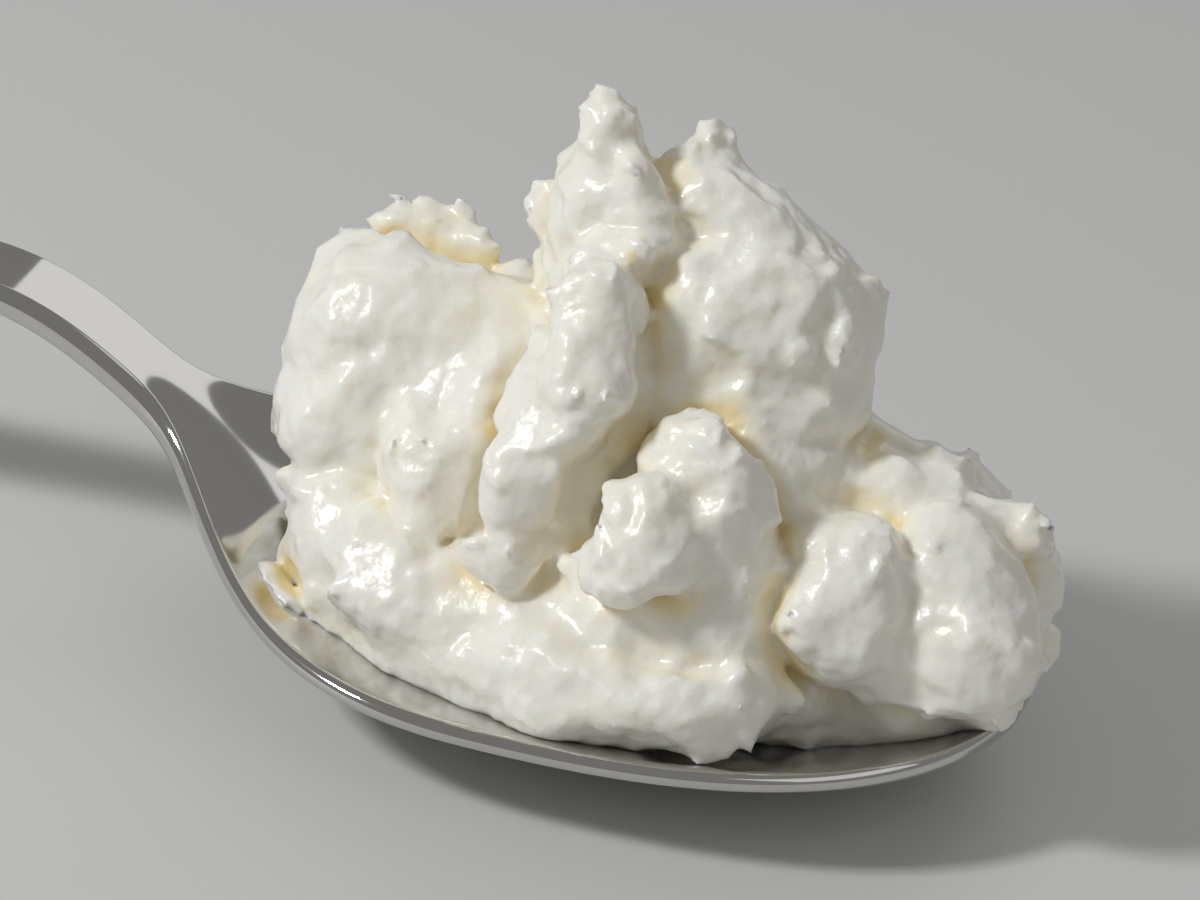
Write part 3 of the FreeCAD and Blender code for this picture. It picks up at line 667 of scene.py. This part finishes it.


# ---------------------------------------------------------------- materials
# colours by openness, from deep in the clefts to the open faces: painted shade, a darker yellowish
# cream deep in the clefts that stands in for shade and light scattered through the quark, whiter on
# the open faces
QUARK_CLEFT_SHADE_STOPS = (
    (0.12, (0.92, 0.79, 0.46)),
    (0.40, (0.93, 0.86, 0.69)),
    (0.68, (0.94, 0.905, 0.80)),
    (1.0, (0.94, 0.915, 0.85)),
)
TONE_SHARE = 0.25           # how much the noise shifts the openness
TONE_SCALE = 0.85           # brings the sum of the two back under 1
STEEL_COLOUR = (0.63, 0.62, 0.60)
STEEL_ROUGHNESS = (0.04, 0.10)
FLOOR_COLOUR = (0.66, 0.66, 0.655)


def new_material(name):
    material = bpy.data.materials.new(name)
    material.use_nodes = True
    nodes = material.node_tree.nodes
    return material, nodes, material.node_tree.links, nodes["Principled BSDF"]


def set_inputs(node, **values):
    """Set sockets by name, with _ for a space."""
    for name, value in values.items():
        node.inputs[name.replace("_", " ")].default_value = value


def noise_node(nodes, links, place, scale, detail):
    node = nodes.new("ShaderNodeTexNoise")
    set_inputs(node, Scale=scale, Detail=detail)
    links.new(place.outputs["Object"], node.inputs["Vector"])
    return node


def bump_node(nodes, links, height, strength, distance):
    node = nodes.new("ShaderNodeBump")
    set_inputs(node, Strength=strength, Distance=distance)
    links.new(height.outputs["Fac"], node.inputs["Height"])
    return node


def quark_colour_and_cleft_shade(nodes, links, place):
    """White faces and painted shade in the clefts, a yellowish cream that stands in for shade and
    light scattered through the quark, with a slow shift between the two.
    """
    tone = noise_node(nodes, links, place, scale=160, detail=3)
    openness = nodes.new("ShaderNodeAttribute")
    openness.attribute_name = "openness"
    mix = nodes.new("ShaderNodeMath")
    mix.operation = "MULTIPLY_ADD"
    mix.inputs[1].default_value = TONE_SHARE
    links.new(tone.outputs["Fac"], mix.inputs[0])
    links.new(openness.outputs["Fac"], mix.inputs[2])
    scaled = nodes.new("ShaderNodeMath")
    scaled.operation = "MULTIPLY"
    scaled.inputs[1].default_value = TONE_SCALE
    links.new(mix.outputs[0], scaled.inputs[0])
    ramp = nodes.new("ShaderNodeValToRGB")
    elements = ramp.color_ramp.elements
    while len(elements) < len(QUARK_CLEFT_SHADE_STOPS):
        elements.new(0.5)
    for element, (position, colour) in zip(elements, QUARK_CLEFT_SHADE_STOPS):
        element.position = position
        element.color = colour + (1,)
    links.new(scaled.outputs[0], ramp.inputs["Fac"])
    return ramp.outputs["Color"]


def quark_material():
    material, nodes, links, shader = new_material("quark_look")
    place = nodes.new("ShaderNodeTexCoord")
    # base colour with painted shade and painted translucent glow in the clefts
    links.new(quark_colour_and_cleft_shade(nodes, links, place), shader.inputs["Base Color"])
    grain = noise_node(nodes, links, place, scale=1300, detail=2)
    soft = noise_node(nodes, links, place, scale=560, detail=1)
    fine = bump_node(nodes, links, grain, strength=0.3, distance=0.3 * MM)
    broad = bump_node(nodes, links, soft, strength=0.5, distance=0.7 * MM)
    links.new(broad.outputs["Normal"], fine.inputs["Normal"])
    links.new(fine.outputs["Normal"], shader.inputs["Normal"])
    set_inputs(shader, Roughness=0.32, Coat_Weight=0.25, Coat_Roughness=0.08,
               Subsurface_Weight=0.6, Subsurface_Radius=(1.0, 0.8, 0.5),
               Subsurface_Scale=1.2 * MM)
    return material


def steel_material():
    material, nodes, links, shader = new_material("polished_steel_look")
    set_inputs(shader, Base_Color=STEEL_COLOUR + (1,), Metallic=1.0)
    place = nodes.new("ShaderNodeTexCoord")
    wear = noise_node(nodes, links, place, scale=90, detail=5)
    polish = nodes.new("ShaderNodeMapRange")
    set_inputs(polish, To_Min=STEEL_ROUGHNESS[0], To_Max=STEEL_ROUGHNESS[1])
    links.new(wear.outputs["Fac"], polish.inputs["Value"])
    links.new(polish.outputs["Result"], shader.inputs["Roughness"])
    return material


def floor_material():
    material, _, _, shader = new_material("floor_look")
    set_inputs(shader, Base_Color=FLOOR_COLOUR + (1,), Roughness=0.6)
    return material


spoon = build_spoon()
spoon.data.materials.append(steel_material())
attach(spoon, "root")
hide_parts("spoon")

quark = build_quark()
quark.data.materials.append(quark_material())
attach(quark, "root")
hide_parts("quark")


# -------------------------------------------------------------------- stage
FLOOR_HALF = 3.0
LAMP_TARGET = (0, 0, 0.02)
# name, place, side, watts
LAMPS = (
    ("key", (-0.40, -0.24, 0.40), 0.09, 2.1),
    ("fill", (0.40, -0.20, 0.45), 0.40, 0.25),
    ("back", (0.10, 0.45, 0.40), 0.40, 0.35),
)
WORLD_COLOUR = (1.0, 0.985, 0.96)
WORLD_STRENGTH = 0.24
SENSOR_WIDTH = 36


def add_floor():
    half = FLOOR_HALF
    points = [(-half, -half, 0), (half, -half, 0), (half, half, 0), (-half, half, 0)]
    mesh = bpy.data.meshes.new("floor")
    mesh.from_pydata(points, [], [(0, 1, 2, 3)])
    floor = bpy.data.objects.new("floor", mesh)
    bpy.context.scene.collection.objects.link(floor)
    mesh.materials.append(floor_material())


def add_lamp(name, place, size, power):
    lamp = bpy.data.lights.new(name, "AREA")
    lamp.size = size
    lamp.energy = power
    lamp_object = bpy.data.objects.new(name, lamp)
    lamp_object.location = place
    aim = Vector(LAMP_TARGET) - Vector(place)
    lamp_object.rotation_euler = aim.to_track_quat("-Z", "Y").to_euler()
    bpy.context.scene.collection.objects.link(lamp_object)


def add_world():
    world = bpy.data.worlds.new("studio")
    world.use_nodes = True
    set_inputs(world.node_tree.nodes["Background"], Color=WORLD_COLOUR + (1,),
               Strength=WORLD_STRENGTH)
    bpy.context.scene.world = world


def add_camera(azimuth, elevation, roll, distance, target, view_angle):
    """A camera that looks at target from angles in degrees, distance away."""
    az, el, ro = (math.radians(a) for a in (azimuth, elevation, roll))
    back = Vector((math.sin(az) * math.cos(el), -math.cos(az) * math.cos(el), math.sin(el)))
    right = Vector((math.cos(az), math.sin(az), 0))
    up = back.cross(right)
    side = right * math.cos(ro) + up * math.sin(ro)
    top = up * math.cos(ro) - right * math.sin(ro)
    place = Vector(target) + back * distance
    data = bpy.data.cameras.new("camera")
    data.sensor_width = SENSOR_WIDTH
    data.lens = SENSOR_WIDTH / 2 / math.tan(math.radians(view_angle / 2))
    data.clip_start = 0.01
    camera = bpy.data.objects.new("camera", data)
    camera.matrix_world = Matrix((side, top, back)).transposed().to_4x4()
    camera.location = place
    bpy.context.scene.collection.objects.link(camera)
    bpy.context.scene.camera = camera


add_floor()
for lamp in LAMPS:
    add_lamp(*lamp)
add_world()
add_camera(azimuth=9.43, elevation=27.21, roll=8.68, distance=0.26661,
           target=(-0.00035, -0.00311, 0.01977), view_angle=18.0)
bpy.context.scene.view_settings.view_transform = "Standard"
